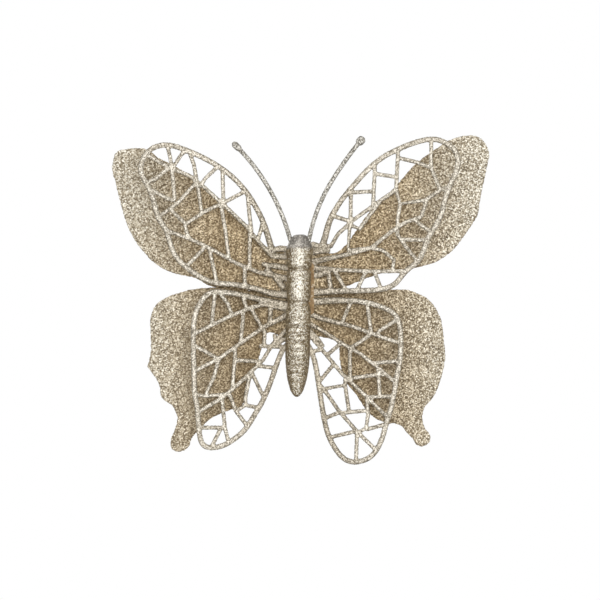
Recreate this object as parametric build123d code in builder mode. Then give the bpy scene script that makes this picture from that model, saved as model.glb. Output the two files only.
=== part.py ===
import math
import os

from build123d import *

os.makedirs("parts", exist_ok=True)

# Butterfly ornament on a sprung clip. Millimetres, +Z up, front towards -Y.
# The origin is the middle of the clip's grip, between its two jaws.

# Scale of the traced outlines: the wing span, and where the grip lies in them
span = 150.8
SPAN_PX = 377
AXIS_PX = 298.5
GRIP_PX = 335
mm_per_px = span / SPAN_PX

# Least sideways share of a step that counts as a bend
straight_share = 0.1

LEFT = -1
RIGHT = 1
FORWARD = (0, -1, 0)

# Depth of the stack, from the grip plane forwards
jaw_gap = 0.3
sheet = 0.6
clip_glue_thickness = 1.0
panel_thickness = 1.2
lattice_thickness = 1.8
body_glue_thickness = 0.5

base_front = jaw_gap / 2 + sheet
panel_back = base_front + clip_glue_thickness
lattice_back = panel_back + panel_thickness
lattice_front = lattice_back + lattice_thickness
body_back = lattice_front + body_glue_thickness

# Wings: flat by the body, then bent forwards along a soft crease. A rise is how far
# forward of the flat part a wing's plane would stand at half the span.
panel_flat_half_width = 7.0
lattice_flat_half_width = 6.4
crease_radius = 15.0
panel_rise = 6.0
fore_lattice_rise = 15.9
hind_lattice_rise = 14.7
rim_width = 2.3
rib_width = 2.1
tab_half_width = 4.6
tab_gap = 0.6
tab_split_height = 14.6
fore_tab_top = 35.2
hind_tab_bottom = -4.6

# Body: head, collar, thorax, waist and ringed abdomen, each from the one above it
body_axis_depth = 1.5
head_base = 34.8
head_height = 5.4
head_radius = 5.3
collar_radius = 5.4
collar_length = 6.3
neck_radius = 4.8
neck_drop = 1.6
thorax_radius = 5.1
thorax_drop = 1.4
thorax_length = 10.0
waist_radius = 4.3
waist_drop = 2.6
abdomen_radius = 4.9
abdomen_drop = 2.4
abdomen_length = 34.8
abdomen_taper_length = 18.8
ring_pitch = 3.2
ring_depth = 0.3
ring_groove_half_width = 0.5
HEAD_RADIUS_SHARES = (0.32, 0.53, 0.68, 0.84, 1)
HEAD_HEIGHT_SHARES = (0.985, 0.9, 0.7, 0.38, 0)
TAIL_END_SHARES = (1, 0.42, 0.1)

# Antennae: wires set in the head, each with a straight shank and a knob at its end
knob_inner_share = 0.75
knob_outer_share = 0.45
shank_depth = 0.4
left_shank_foot = 2.2
left_shank_bend = 3.7
left_shank_rise = 5.2
right_shank_foot = 3.4
right_shank_bend = 4.6
right_shank_rise = 5.6
antenna_radius = 0.9
antenna_sides = 12
antenna_ball_radius = 1.7
antenna_ball_length = 3.4
antenna_club_radius = 1.35
antenna_club_length = 4.2
socket_clearance = 0.02

# Clip
clip_length = 36.0
clip_below_grip = 4.0
nose_length = 9.0
lever_width = 6.5
side_clearance = 0.15
corner_radius = 1.6
tooth_height = 0.6
tooth_half_width = 0.5
tooth_pitch = 1.8
tooth_count = 4
pin_height = 14.0
pin_radius = 0.8
pin_head_radius = 1.3
pin_head_thickness = 0.5
pin_seat_clearance = 0.02
pin_running_clearance = 0.05
base_ear_radius = 1.7
base_ear_half_width = 3.2
lever_ear_radius = 1.5
lever_ear_half_width = 2.6

# Torsion spring, wound round the pin
wire_radius = 0.3
wire_sides = 6
coil_radius = 1.6
coil_pitch = 1.05
coil_turns = 3
arcs_per_turn = 4
leg_length = 10.0
leg_clearance = 0.02

# Glue
glue_half_width = 4.2
glue_top = 32.0
glue_bottom = -3.2
glue_corner = 1.6
bead_reach = 6.2
bead_top = 29.2
bead_bottom = 8.0

# Outlines of the glittered panels, root to root, cut where they have a corner
LEFT_FORE_PANEL_PX = (
    ((270, 251), (253, 233), (226, 206), (203, 183.5), (181, 169.5), (157, 157)),
    ((157, 157), (147, 149.5), (130, 148.5), (117, 152), (112.5, 163), (115, 180)),
    ((115, 180), (121, 205), (129, 230), (142, 250), (155, 263.5), (180, 275)),
    ((180, 275), (198, 279.5), (210, 285.5), (225, 287), (250, 290)),
)
RIGHT_FORE_PANEL_PX = (
    ((325, 251), (334, 252), (343, 246.5), (356, 230), (371, 210), (385, 197)),
    ((385, 197), (400, 181), (414, 165), (434, 150), (452, 139), (470, 135)),
    ((470, 135), (480, 138), (488, 149), (486.5, 170), (481.5, 192), (478, 215)),
    ((478, 215), (465, 235), (451, 252), (438, 261), (420, 267), (385, 272)),
    ((385, 272), (361, 280.5), (345, 286.5), (330, 290.5), (313, 294.5)),
)
LEFT_HIND_PANEL_PX = (
    ((284, 298.3), (260, 293.2), (240, 290), (211, 287.9), (188, 290), (166, 298)),
    ((166, 298), (155, 306), (150.5, 318), (150.5, 334), (151, 350), (147, 366)),
    ((147, 366), (152, 373), (159, 384), (161, 396), (174, 408.5), (177.5, 418)),
    ((177.5, 418), (175, 429), (170.5, 441), (173, 450), (183, 451), (191, 439)),
    ((191, 439), (200, 429), (208, 421.5), (228, 412), (241, 408), (245, 398)),
    ((245, 398), (250, 381), (258, 363), (262, 348), (264.5, 338), (269, 333.5)),
    ((269, 333.5), (276, 335.5), (281, 339), (286, 342)),
)
RIGHT_HIND_PANEL_PX = (
    ((312, 296.4), (330, 291.7), (345, 289.5), (360, 290), (380, 289.5), (398, 289)),
    ((398, 289), (412, 291), (429, 300), (439.5, 315), (443.5, 336), (445.5, 357)),
    ((445.5, 357), (441.5, 377), (434, 396), (423.5, 410), (422.5, 420), (427, 431)),
    ((427, 431), (430, 441), (422, 446.5), (409, 435), (398, 424.5), (389, 424)),
    ((389, 424), (372, 416), (356, 395), (344, 380), (340.5, 367), (339, 353)),
    ((339, 353), (336, 343), (326, 339), (311, 338)),
)

# Middle lines of the openwork wings: the rim, root to root, then its ribs
LEFT_FORE_RIM_PX = (
    (272, 250), (268.5, 238), (263, 220), (248, 193), (231, 175), (212, 162),
    (190, 151.5), (170, 144.5), (157, 146), (147, 152), (141, 164), (141, 175),
    (147, 183), (153, 197), (156, 211), (160, 221), (167.5, 231), (171.5, 249),
    (179, 261), (188, 268.5), (200, 277), (213, 283), (230, 284), (245, 286),
    (258, 289), (268, 292.5), (278, 294.5), (289, 294.5),
)
LEFT_FORE_RIBS_PX = (
    ((289, 249.5), (280, 248.5), (272, 250)),
    ((145, 154), (152, 158), (171, 168.5), (190, 176), (205, 188), (226, 207)),
    ((226, 207), (247, 227), (258, 241), (272, 256), (289, 257)),
    ((167.5, 146), (170.5, 158), (173.5, 184), (175, 200)),
    ((188, 150.5), (182, 154), (178, 160), (173, 168)),
    ((189.5, 152), (194, 165), (198.5, 190), (202, 214.5)),
    ((218, 166.5), (205, 179), (202, 184)),
    ((222.5, 169), (223.5, 203)),
    ((244, 192), (229, 200), (223.5, 203)),
    ((247.5, 194), (249.5, 215), (251.5, 231)),
    ((263, 222), (258, 240)),
    ((169, 168), (156, 179), (147, 183)),
    ((151.5, 190), (167, 198.5), (175, 200.5)),
    ((196, 183), (178, 203), (158, 218)),
    ((171, 210), (186, 224)),
    ((221, 204), (206, 211), (186, 224), (185, 226), (189, 238)),
    ((168, 231), (189, 238.5), (208, 247), (236, 263), (258, 272), (289, 279)),
    ((206, 246), (195, 258), (186, 267)),
    ((209, 248), (213, 265), (217, 283)),
    ((245, 268), (244.5, 278), (245.5, 286)),
    ((221, 205), (225, 228), (229, 259)),
    ((250, 229), (249.5, 269)),
)
RIGHT_FORE_RIM_PX = (
    (322, 247), (325, 238), (329, 221), (339, 203), (352, 187), (368, 169),
    (380, 159), (390, 153), (410, 144), (428, 139), (440, 140), (452, 147),
    (458.5, 157), (457, 171), (449.5, 185), (444.5, 200), (441, 216), (434, 228),
    (427, 239), (424, 250), (418, 262), (405, 271), (396, 284), (385, 289),
    (371, 290.5), (340, 291), (320, 292), (307, 292.5),
)
RIGHT_FORE_RIBS_PX = (
    ((307, 249.5), (313, 244.5), (317, 246), (322, 247)),
    ((322, 247), (331, 246), (338, 234), (354, 219.5), (380, 201), (396, 190)),
    ((307, 267.5), (340, 270), (376, 271.5), (406, 271)),
    ((332, 215.5), (350, 221.5)),
    ((351, 189), (350.5, 221)),
    ((352, 192.5), (373, 191.5)),
    ((375, 164), (373, 205)),
    ((376, 174), (398, 177.5)),
    ((398, 150.5), (396, 190)),
    ((398, 158), (417, 162.5), (431, 168)),
    ((431, 139), (431, 168), (440, 190)),
    ((350, 222), (348, 250), (371, 248)),
    ((350, 225), (360, 229), (380, 201)),
    ((447, 188), (440, 190), (426, 200)),
    ((396, 190), (400, 204), (426, 200)),
    ((426, 200), (424.5, 206), (421, 217)),
    ((421, 217), (406, 222), (392, 231), (371, 248)),
    ((400, 204), (397.5, 220), (397.5, 235), (406, 247), (418, 262)),
    ((399, 239.5), (424, 240)),
    ((414, 219), (422, 226), (431, 232)),
    ((371, 248), (383, 250.5), (394, 260), (392, 271)),
    ((307, 263), (350, 254), (371, 248)),
    ((334, 270), (346, 290)),
    ((366, 271), (357, 290)),
    ((374, 271), (381, 289)),
)
LEFT_HIND_RIM_PX = (
    (289, 305.5), (275, 303), (255, 298), (235, 293.5), (222, 292), (212, 291.5),
    (205, 296), (199, 305), (194.5, 316), (193, 335), (194, 370), (194.5, 394),
    (197.5, 407), (198.5, 424), (200.5, 442), (207, 448), (220, 447), (232, 441),
    (245.5, 430), (254.5, 415), (263.5, 400), (271.5, 380), (278, 360), (284, 347),
    (289, 343),
)
LEFT_HIND_RIBS_PX = (
    ((194, 334), (207, 327.5), (228, 317), (252, 307), (264, 304.5), (289, 309)),
    ((195, 371), (219, 358.5), (245, 340), (264, 327), (289, 314)),
    ((198, 412), (222, 398), (245, 378), (263, 360), (272, 345), (289, 327)),
    ((215, 292), (213, 312), (212, 324)),
    ((219, 292), (228, 304), (232, 315)),
    ((242, 295), (247, 309)),
    ((243, 310), (243, 320), (240.5, 343)),
    ((251, 308), (262, 328)),
    ((271, 303), (270, 323)),
    ((194, 345), (210, 354), (219, 359)),
    ((235, 348), (235, 358), (232, 391)),
    ((235, 360), (262, 361.5)),
    ((219, 358.5), (214, 377), (205, 396), (195, 394)),
    ((205, 396), (228, 394)),
    ((252, 373), (264, 398)),
    ((259, 366), (276, 368)),
    ((245.5, 405), (260, 408)),
    ((229, 393), (236, 411), (248, 427)),
    ((222, 398), (225, 428), (229, 443.5)),
    ((198.5, 427.5), (225, 427.5)),
    ((221, 428), (211, 448)),
    ((250, 375), (245.5, 397), (245.5, 405), (236, 411)),
    ((264, 345), (284, 347)),
)
RIGHT_HIND_RIM_PX = (
    (307, 302.5), (320, 301), (350, 300), (371, 303), (390, 310), (398.5, 318),
    (401, 335), (400.5, 358), (396, 380), (392, 405), (386.5, 422), (382, 440),
    (372.5, 457), (356, 463), (343, 459.5), (332, 444), (326.3, 430), (322.5, 410),
    (319.5, 390), (315.5, 363), (311, 350), (307, 343),
)
RIGHT_HIND_RIBS_PX = (
    ((307, 312.5), (320, 318), (353, 326.5), (384, 338), (401, 343)),
    ((307, 322.5), (323, 331), (344, 344.5), (361, 354), (381, 370), (396, 383)),
    ((307, 332), (318, 345), (342, 373.5), (366, 396), (389, 419)),
    ((318.5, 383), (328, 395), (339, 411), (358, 432.5), (376, 450)),
    ((351, 301), (346, 313), (342, 323)),
    ((367, 303), (371, 332)),
    ((398, 319), (379, 331), (376, 336)),
    ((372, 333), (360, 342), (350, 348)),
    ((400, 361), (373, 363)),
    ((386, 374), (370, 375.5), (348, 378.5)),
    ((350, 348), (350, 378)),
    ((378, 369), (380, 398)),
    ((366, 397), (394, 396)),
    ((340, 344), (326, 356)),
    ((309, 352), (320, 350)),
    ((333, 365), (319, 382)),
    ((323, 389), (345, 385), (345, 379)),
    ((345, 385), (349, 411)),
    ((340, 413), (366, 410.5)),
    ((367, 397), (368, 415), (366, 428), (357, 433)),
    ((323, 419), (340, 412)),
    ((329, 437.5), (356, 431)),
    ((366, 429.5), (386, 424)),
    ((357, 431), (356, 462)),
)

# Antennae: the bend above the head, the middle and the tip
LEFT_ANTENNA_PX = ((289.3, 236), (282.9, 217.2), (236.5, 146.2))
RIGHT_ANTENNA_PX = ((310, 235), (330.3, 183.6), (360.8, 140.6))


def place(point):
    """A traced point in the plane of the picture, in millimetres from the grip."""
    return ((point[0] - AXIS_PX) * mm_per_px, (GRIP_PX - point[1]) * mm_per_px)


def heading_at(before, here, after):
    """Direction of the circle through three points, at the middle one."""
    arriving = here - before
    leaving = after - here
    return (
        arriving.normalized() * leaving.length + leaving.normalized() * arriving.length
    ).normalized()


def arc_or_line(start, end, heading):
    """Arc that leaves a point in a given direction, or a line where it is straight."""
    across = abs(heading.cross((end - start).normalized()).Z)
    if across < straight_share:
        return Line(start, end)
    return TangentArc(start, end, tangent=heading)


def smooth_curve(traced):
    """Arcs that run smoothly through the traced points, two from each to the next."""
    points = [Vector(*place(point)) for point in traced]
    headings = [
        heading_at(points[i - 1], points[i], points[i + 1])
        for i in range(1, len(points) - 1)
    ]
    first = (points[1] - points[0]).normalized()
    last = (points[-1] - points[-2]).normalized()
    headings.insert(0, first * 2 * first.dot(headings[0]) - headings[0])
    headings.append(last * 2 * last.dot(headings[-1]) - headings[-1])
    for i in range(len(points) - 1):
        chord = points[i + 1] - points[i]
        both = headings[i] + headings[i + 1]
        spread = 2 * (1 - headings[i].dot(headings[i + 1]))
        along = chord.dot(both)
        if spread < straight_share**2:
            handle = chord.dot(chord) / (2 * along)
        else:
            root = math.sqrt(along**2 + spread * chord.dot(chord))
            handle = (root - along) / spread
        meeting = (
            points[i] + points[i + 1] + (headings[i] - headings[i + 1]) * handle
        ) / 2
        inward = arc_or_line(points[i], meeting, headings[i])
        arc_or_line(meeting, points[i + 1], inward % 1)


def bent_sheet(side, flat_half_width, back, thickness, rise):
    """Plate that leaves the body flat and is then lifted forwards by a crease."""
    inner_radius = crease_radius - thickness
    lift_angle = math.degrees(math.atan2(rise, span / 2 - flat_half_width))
    with BuildSketch(Plane.XY.offset(-span / 2)) as section:
        with BuildLine():
            rear = Line((0, -back), (flat_half_width, -back))
            rear_bend = JernArc(rear @ 1, (1, 0), crease_radius, -lift_angle)
            rear_run = Line(rear_bend @ 1, rear_bend @ 1 + (rear_bend % 1) * span / 2)
            front = Line((0, -back - thickness), (flat_half_width, -back - thickness))
            front_bend = JernArc(front @ 1, (1, 0), inner_radius, -lift_angle)
            front_run = Line(
                front_bend @ 1, front_bend @ 1 + (front_bend % 1) * span / 2
            )
            Line(rear @ 0, front @ 0)
            Line(rear_run @ 1, front_run @ 1)
        make_face()
        if side == LEFT:
            mirror(about=Plane.YZ, mode=Mode.REPLACE)
    extrude(section.sketch, amount=span * 3 / 2, dir=(0, 0, 1))


def panel_outline(runs, side, top, bottom):
    """Closed outline of a solid wing, with its tab behind the body."""
    with BuildSketch(Plane.XZ) as outline:
        with BuildLine():
            for run in runs:
                smooth_curve(run)
            Polyline(
                place(runs[-1][-1]),
                (side * tab_half_width, bottom),
                (side * tab_gap / 2, bottom),
                (side * tab_gap / 2, top),
                (side * tab_half_width, top),
                place(runs[0][0]),
            )
        make_face()
    return outline.sketch


def lattice_outline(rim, ribs, side, top, bottom):
    """Rim and ribs of an openwork wing, with the tab that joins their roots."""
    middle = side * (tab_gap / 2 + tab_half_width) / 2
    with BuildSketch(Plane.XZ) as outline:
        with BuildLine():
            smooth_curve(rim)
        trace(line_width=rim_width)
        for rib in ribs:
            with BuildLine():
                Polyline(*[place(point) for point in rib])
            trace(line_width=rib_width)
        with Locations((middle, (top + bottom) / 2)):
            Rectangle(tab_half_width - tab_gap / 2, top - bottom)
    return outline.sketch


def cut_wing(outline):
    """Keeps the part of a bent plate that lies behind a flat outline."""
    depth = span / 2
    extrude(outline, amount=depth, dir=FORWARD, mode=Mode.INTERSECT)


fore_tab_bottom = tab_split_height + tab_gap / 2
hind_tab_top = tab_split_height - tab_gap / 2

# Solid wings
with BuildPart() as fore_wing_left:
    bent_sheet(LEFT, panel_flat_half_width, panel_back, panel_thickness, panel_rise)
    cut_wing(panel_outline(LEFT_FORE_PANEL_PX, LEFT, fore_tab_top, fore_tab_bottom))
fore_wing_left.part.label = "fore_wing_left"
export_step(fore_wing_left.part, "parts/fore_wing_left.step")

with BuildPart() as fore_wing_right:
    bent_sheet(RIGHT, panel_flat_half_width, panel_back, panel_thickness, panel_rise)
    cut_wing(panel_outline(RIGHT_FORE_PANEL_PX, RIGHT, fore_tab_top, fore_tab_bottom))
fore_wing_right.part.label = "fore_wing_right"
export_step(fore_wing_right.part, "parts/fore_wing_right.step")

with BuildPart() as hind_wing_left:
    bent_sheet(LEFT, panel_flat_half_width, panel_back, panel_thickness, panel_rise)
    cut_wing(panel_outline(LEFT_HIND_PANEL_PX, LEFT, hind_tab_top, hind_tab_bottom))
hind_wing_left.part.label = "hind_wing_left"
export_step(hind_wing_left.part, "parts/hind_wing_left.step")

with BuildPart() as hind_wing_right:
    bent_sheet(RIGHT, panel_flat_half_width, panel_back, panel_thickness, panel_rise)
    cut_wing(panel_outline(RIGHT_HIND_PANEL_PX, RIGHT, hind_tab_top, hind_tab_bottom))
hind_wing_right.part.label = "hind_wing_right"
export_step(hind_wing_right.part, "parts/hind_wing_right.step")

# Openwork wings
with BuildPart() as fore_lattice_left:
    bent_sheet(
        LEFT, lattice_flat_half_width, lattice_back, lattice_thickness, fore_lattice_rise
    )
    cut_wing(
        lattice_outline(
            LEFT_FORE_RIM_PX, LEFT_FORE_RIBS_PX, LEFT, fore_tab_top, fore_tab_bottom
        )
    )
fore_lattice_left.part.label = "fore_lattice_left"
export_step(fore_lattice_left.part, "parts/fore_lattice_left.step")

with BuildPart() as fore_lattice_right:
    bent_sheet(
        RIGHT, lattice_flat_half_width, lattice_back, lattice_thickness, fore_lattice_rise
    )
    cut_wing(
        lattice_outline(
            RIGHT_FORE_RIM_PX, RIGHT_FORE_RIBS_PX, RIGHT, fore_tab_top, fore_tab_bottom
        )
    )
fore_lattice_right.part.label = "fore_lattice_right"
export_step(fore_lattice_right.part, "parts/fore_lattice_right.step")

with BuildPart() as hind_lattice_left:
    bent_sheet(
        LEFT, lattice_flat_half_width, lattice_back, lattice_thickness, hind_lattice_rise
    )
    cut_wing(
        lattice_outline(
            LEFT_HIND_RIM_PX, LEFT_HIND_RIBS_PX, LEFT, hind_tab_top, hind_tab_bottom
        )
    )
hind_lattice_left.part.label = "hind_lattice_left"
export_step(hind_lattice_left.part, "parts/hind_lattice_left.step")

with BuildPart() as hind_lattice_right:
    bent_sheet(
        RIGHT, lattice_flat_half_width, lattice_back, lattice_thickness, hind_lattice_rise
    )
    cut_wing(
        lattice_outline(
            RIGHT_HIND_RIM_PX, RIGHT_HIND_RIBS_PX, RIGHT, hind_tab_top, hind_tab_bottom
        )
    )
hind_lattice_right.part.label = "hind_lattice_right"
export_step(hind_lattice_right.part, "parts/hind_lattice_right.step")

# Antennae: a shank in the head, two bends and a knob
body_axis_y = -body_back - body_axis_depth
antenna_plane = Plane(origin=(0, body_axis_y, 0), x_dir=(1, 0, 0), z_dir=FORWARD)
foot_height = head_base - shank_depth
left_shank = (
    (LEFT * left_shank_foot, foot_height),
    (LEFT * left_shank_bend, foot_height + left_shank_rise),
)
right_shank = (
    (RIGHT * right_shank_foot, foot_height),
    (RIGHT * right_shank_bend, foot_height + right_shank_rise),
)


def antenna(shank_ends, traced, knob_radius, knob_length):
    """Wire along a straight shank and two smooth arcs, with a turned knob on it."""
    foot, bend = shank_ends
    start, *ends = [Vector(*place(point)) for point in traced]
    middle, tip = [tuple(Vector(*bend) + end - start)[:2] for end in ends]
    with BuildLine(antenna_plane) as path:
        shank = Line(foot, bend)
        first = TangentArc(bend, middle, tangent=shank % 1)
        TangentArc(middle, tip, tangent=first % 1)
    wire = path.wire()
    with BuildSketch(Plane(origin=wire @ 0, z_dir=wire % 0)) as section:
        RegularPolygon(antenna_radius, antenna_sides)
    sweep(section.sketch, path=wire)
    shoulder = knob_length / 4
    knob_apothem = knob_radius * math.cos(math.pi / antenna_sides)
    for way, share in ((-1, knob_inner_share), (1, knob_outer_share)):
        outward = (wire % 1) * way
        with BuildSketch(Plane(origin=wire @ 1, z_dir=outward)) as belt:
            RegularPolygon(knob_radius, antenna_sides)
        extrude(belt.sketch, amount=shoulder)
        belt_end = Plane(origin=wire @ 1 + outward * shoulder, z_dir=outward)
        with BuildSketch(belt_end) as tapered:
            RegularPolygon(knob_radius, antenna_sides)
        narrowing_angle = math.degrees(math.atan2(knob_apothem * (1 - share), shoulder))
        extrude(tapered.sketch, amount=shoulder, taper=narrowing_angle)


with BuildPart() as antenna_left:
    antenna(left_shank, LEFT_ANTENNA_PX, antenna_club_radius, antenna_club_length)
antenna_left.part.label = "antenna_left"
export_step(antenna_left.part, "parts/antenna_left.step")

with BuildPart() as antenna_right:
    antenna(right_shank, RIGHT_ANTENNA_PX, antenna_ball_radius, antenna_ball_length)
antenna_right.part.label = "antenna_right"
export_step(antenna_right.part, "parts/antenna_right.step")


collar_top = head_base - ring_groove_half_width
collar_bottom = collar_top - collar_length
neck_height = collar_bottom - neck_drop
thorax_top = neck_height - thorax_drop
thorax_bottom = thorax_top - thorax_length
waist_height = thorax_bottom - waist_drop
abdomen_top = waist_height - abdomen_drop
tail_height = abdomen_top - abdomen_length
taper_height = tail_height + abdomen_taper_length


def abdomen_radius_at(height):
    """Straight sides, then a quarter ellipse down to the tail."""
    share = min(1, max(0, taper_height - height) / abdomen_taper_length)
    return abdomen_radius * math.sqrt(1 - share**2)


# Body: half round in front of its axis, with straight sides back to the glue
head = [(0, head_base + head_height)]
for radius_share, height_share in zip(HEAD_RADIUS_SHARES, HEAD_HEIGHT_SHARES):
    head.append((head_radius * radius_share, head_base + head_height * height_share))

trunk = [
    (collar_radius, collar_top),
    (collar_radius, collar_bottom),
    (neck_radius, neck_height),
    (thorax_radius, thorax_top),
    (thorax_radius, thorax_bottom),
    (waist_radius, waist_height),
    (abdomen_radius, abdomen_top),
]
ring_count = int(abdomen_length / ring_pitch)
for ring in range(1, ring_count):
    height = abdomen_top - ring * ring_pitch
    for step in (1, 0, -1):
        level = height + step * ring_groove_half_width
        depth = ring_depth if step == 0 else 0
        trunk.append((abdomen_radius_at(level) - depth, level))
tail_end_length = abdomen_length - ring_count * ring_pitch
for share in TAIL_END_SHARES:
    level = tail_height + tail_end_length * share
    trunk.append((abdomen_radius_at(level), level))
trunk.append((0, tail_height))

with BuildPart() as body:
    with BuildSketch(antenna_plane) as half_outline:
        with BuildLine():
            Polyline(*head, *trunk, close=True)
        make_face()
    revolve(axis=Axis((0, body_axis_y, 0), (0, 0, -1)), revolution_arc=180)
    with BuildSketch(antenna_plane):
        add(half_outline.sketch_local)
        mirror(about=Plane.YZ)
    extrude(amount=-body_axis_depth)
    for ends in (left_shank, right_shank):
        foot, bend = [antenna_plane.from_local_coords(end) for end in ends]
        with BuildSketch(Plane(origin=foot, z_dir=bend - foot)) as socket:
            Circle(antenna_radius + socket_clearance)
        extrude(socket.sketch, amount=(bend - foot).length, mode=Mode.SUBTRACT)
body.part.label = "body"
export_step(body.part, "parts/body.step")

# Glue between the body and the wings, with the bead pressed out at the right
with BuildPart() as glue_body:
    with BuildSketch(Plane.XZ.offset(lattice_front)):
        with Locations((0, (glue_top + glue_bottom) / 2)):
            RectangleRounded(2 * glue_half_width, glue_top - glue_bottom, glue_corner)
        with Locations((bead_reach / 2, (bead_top + bead_bottom) / 2)):
            RectangleRounded(bead_reach, bead_top - bead_bottom, glue_corner)
    extrude(amount=body_glue_thickness)
glue_body.part.label = "glue_body"
export_step(glue_body.part, "parts/glue_body.step")

# Glue between the wings and the clip
with BuildPart() as glue_clip:
    with BuildSketch(Plane.XZ.offset(base_front)):
        with Locations((0, (glue_top + glue_bottom) / 2)):
            RectangleRounded(2 * glue_half_width, glue_top - glue_bottom, glue_corner)
    extrude(amount=clip_glue_thickness)
glue_clip.part.label = "glue_clip"
export_step(glue_clip.part, "parts/glue_clip.step")

# Clip: where the pin lies so that the coil clears both sheets by the leg clearance
coil_reach = coil_radius + wire_radius + leg_clearance
base_inner = -jaw_gap / 2
nose_inner = jaw_gap / 2 + tooth_height
pin_depth = base_inner + coil_reach
clip_top = clip_length - clip_below_grip
nose_bend_height = nose_length - clip_below_grip
pin_rise = pin_height - nose_bend_height
pin_offset = pin_depth - nose_inner
pin_distance = math.hypot(pin_rise, pin_offset)
lever_angle = math.asin(coil_reach / pin_distance) + math.atan2(pin_offset, pin_rise)
lever_along = (math.sin(lever_angle), math.cos(lever_angle))
lever_out = (math.cos(lever_angle), -math.sin(lever_angle))
ear_inner = lever_width / 2 + side_clearance
base_width = 2 * (ear_inner + sheet)


def from_pin(out, along):
    """Point beside the pin, along the lever's normal and up its slope."""
    return (
        pin_depth + out * lever_out[0] + along * lever_along[0],
        pin_height + out * lever_out[1] + along * lever_along[1],
    )


with BuildPart() as clip_base:
    with BuildSketch(Plane.XZ.offset(jaw_gap / 2)):
        with Locations((0, clip_length / 2 - clip_below_grip)):
            RectangleRounded(base_width, clip_length, corner_radius)
    extrude(amount=sheet)
    with BuildSketch(Plane.YZ.offset(ear_inner)):
        with Locations((pin_depth, pin_height)):
            Circle(base_ear_radius)
        with Locations((base_inner - sheet / 2, pin_height)):
            Rectangle(sheet, 2 * base_ear_half_width)
        make_hull()
        with Locations((pin_depth, pin_height)):
            Circle(pin_radius + pin_seat_clearance, mode=Mode.SUBTRACT)
    extrude(amount=sheet)
    with BuildSketch(Plane.YZ.offset(-ear_inner)):
        with Locations((pin_depth, pin_height)):
            Circle(base_ear_radius)
        with Locations((base_inner - sheet / 2, pin_height)):
            Rectangle(sheet, 2 * base_ear_half_width)
        make_hull()
        with Locations((pin_depth, pin_height)):
            Circle(pin_radius + pin_seat_clearance, mode=Mode.SUBTRACT)
    extrude(amount=-sheet)
clip_base.part.label = "clip_base"
export_step(clip_base.part, "parts/clip_base.step")

lever_run = (clip_top - nose_bend_height) / math.cos(lever_angle)
lever_foot = -pin_distance * math.cos(math.asin(coil_reach / pin_distance))
with BuildPart() as clip_lever:
    with BuildSketch(Plane.YZ.offset(-lever_width / 2)):
        with BuildLine():
            inner = Polyline(
                (nose_inner, -clip_below_grip),
                (nose_inner, nose_bend_height),
                from_pin(coil_reach, lever_foot + lever_run),
            )
            outer_bend = nose_bend_height - sheet * math.tan(lever_angle / 2)
            outer = Polyline(
                (nose_inner + sheet, -clip_below_grip),
                (nose_inner + sheet, outer_bend),
                from_pin(coil_reach + sheet, lever_foot + lever_run),
            )
            Line(inner @ 0, outer @ 0)
            Line(inner @ 1, outer @ 1)
        make_face()
    extrude(amount=lever_width)
    tab_corners = clip_lever.edges().filter_by(GeomType.LINE).sort_by(Axis.Z)[-4:]
    tab_corners = [edge for edge in tab_corners if abs(edge.tangent_at(0).X) < 0.5]
    fillet(tab_corners, corner_radius)
    for tooth in range(tooth_count):
        foot = -clip_below_grip + tooth_pitch / 2 + tooth * tooth_pitch
        with BuildSketch(Plane.YZ.offset(-lever_width / 2)) as ridge:
            with BuildLine():
                Polyline(
                    (nose_inner, foot - tooth_half_width),
                    (jaw_gap / 2, foot),
                    (nose_inner, foot + tooth_half_width),
                    close=True,
                )
            make_face()
        extrude(amount=lever_width)
    for start in (-lever_width / 2, lever_width / 2 - sheet):
        with BuildSketch(Plane.YZ.offset(start)):
            with Locations((pin_depth, pin_height)):
                Circle(lever_ear_radius)
            with BuildLine():
                Polyline(
                    from_pin(coil_reach, -lever_ear_half_width),
                    from_pin(coil_reach + sheet / 2, -lever_ear_half_width),
                    from_pin(coil_reach + sheet / 2, lever_ear_half_width),
                    from_pin(coil_reach, lever_ear_half_width),
                    close=True,
                )
            make_face()
            make_hull()
            with Locations((pin_depth, pin_height)):
                Circle(pin_radius + pin_running_clearance, mode=Mode.SUBTRACT)
        extrude(amount=sheet)
clip_lever.part.label = "clip_lever"
export_step(clip_lever.part, "parts/clip_lever.step")

# Pin, headed over outside the ears of the base
with BuildPart() as clip_pin:
    with BuildSketch(Plane.YZ.offset(-base_width / 2)):
        with Locations((pin_depth, pin_height)):
            Circle(pin_radius)
    extrude(amount=base_width)
    with BuildSketch(Plane.YZ.offset(base_width / 2)):
        with Locations((pin_depth, pin_height)):
            Circle(pin_head_radius)
    extrude(amount=pin_head_thickness)
    with BuildSketch(Plane.YZ.offset(-base_width / 2)):
        with Locations((pin_depth, pin_height)):
            Circle(pin_head_radius)
    extrude(amount=-pin_head_thickness)
clip_pin.part.label = "clip_pin"
export_step(clip_pin.part, "parts/clip_pin.step")

# Torsion spring: one leg on each sheet, the coil between them as pairs of arcs
full_turn = 2 * math.pi
coil_angle = coil_turns * full_turn + math.pi - lever_angle
coil_length = coil_pitch * coil_angle / full_turn
coil_slope = math.atan2(coil_pitch, full_turn * coil_radius)
piece_count = round(coil_angle / full_turn * arcs_per_turn)
piece_angle = coil_angle / piece_count
piece_length = coil_length / piece_count


def on_coil(angle, radius):
    """Point round the pin, at an angle wound up from the base's side."""
    along = coil_pitch * angle / full_turn - coil_length / 2
    return Vector(
        along,
        pin_depth - radius * math.cos(angle),
        pin_height - radius * math.sin(angle),
    )


def coil_heading(angle):
    """Direction of the wire on the helix."""
    return Vector(
        math.sin(coil_slope),
        math.cos(coil_slope) * math.sin(angle),
        -math.cos(coil_slope) * math.cos(angle),
    )


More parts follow.
